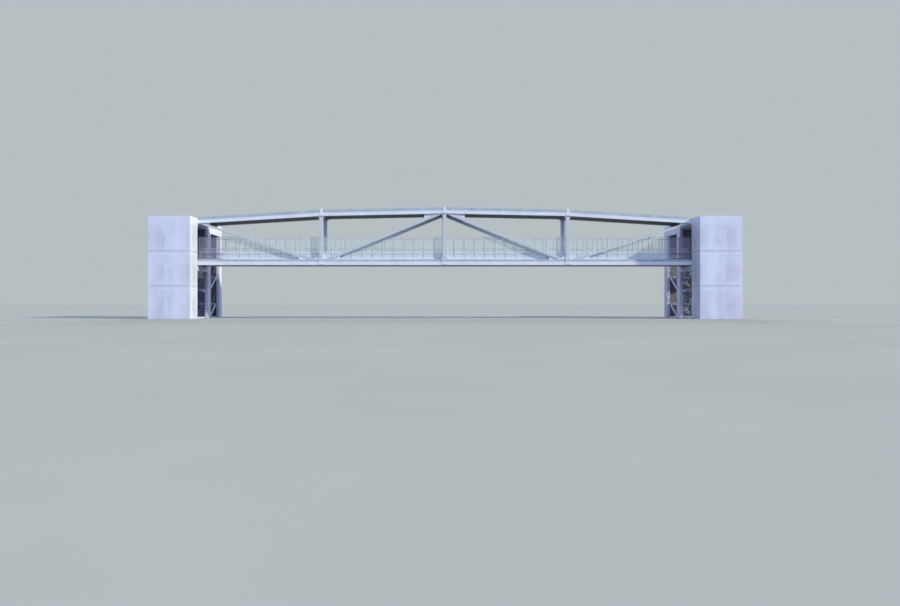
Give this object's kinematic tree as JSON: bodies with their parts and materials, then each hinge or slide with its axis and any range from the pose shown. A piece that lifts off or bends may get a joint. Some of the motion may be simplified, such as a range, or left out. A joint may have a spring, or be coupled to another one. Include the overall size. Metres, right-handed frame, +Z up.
{
  "type": "scale model of a pedestrian bridge",
  "caption": "Half-size model of a white steel truss footbridge with glazed side screens, spanning a road between hollow concrete stair towers.",
  "frame": {"origin": "centre of the bounding box at ground level", "axes": "+X along the bridge, +Y away from the side seen in the picture, +Z up"},
  "size_m": [29.75, 5.5, 5.815],
  "materials": {
    "concrete": "matt fair-faced concrete",
    "white_steel": "satin white paint",
    "deck": "matt",
    "screen_metal": "satin pale grey paint",
    "clear_glass": "clear, faint blue-green",
    "pale_panel": "matt translucent white",
    "bearing_rubber": "matt",
    "canopy_sheet": "matt dark sheet",
    "rail_steel": "brushed"
  },
  "bodies": {
    "root": {"left_front_wall": "concrete", "left_rear_wall": "concrete", "left_inner_wall": "concrete", "left_outer_wall": "concrete", "left_roof_slab": "concrete", "left_floor_slabs": "concrete", "left_bearing_beam": "concrete", "left_stair_landings": "concrete", "left_stair_treads": "concrete", "left_stair_stringers": "white_steel", "left_stair_handrails": "rail_steel", "right_front_wall": "concrete", "right_rear_wall": "concrete", "right_inner_wall": "concrete", "right_outer_wall": "concrete", "right_roof_slab": "concrete", "right_floor_slabs": "concrete", "right_bearing_beam": "concrete", "right_stair_landings": "concrete", "right_stair_treads": "concrete", "right_stair_stringers": "white_steel", "right_stair_handrails": "rail_steel", "front_top_chord": "white_steel", "front_bottom_chord": "white_steel", "front_verticals": "white_steel", "front_diagonals": "white_steel", "front_screen_frame": "screen_metal", "front_screen_glass": "clear_glass", "front_low_panels": "pale_panel", "rear_top_chord": "white_steel", "rear_bottom_chord": "white_steel", "rear_verticals": "white_steel", "rear_diagonals": "white_steel", "rear_screen_frame": "screen_metal", "rear_screen_glass": "clear_glass", "rear_low_panels": "pale_panel", "end_ties": "white_steel", "gussets": "white_steel", "node_collars": "white_steel", "portal_struts": "white_steel", "canopy": "canopy_sheet", "floor_beams": "white_steel", "deck_slab": "deck", "bearings": "bearing_rubber", "walkway_handrails": "rail_steel"}
  },
  "joints": []
}
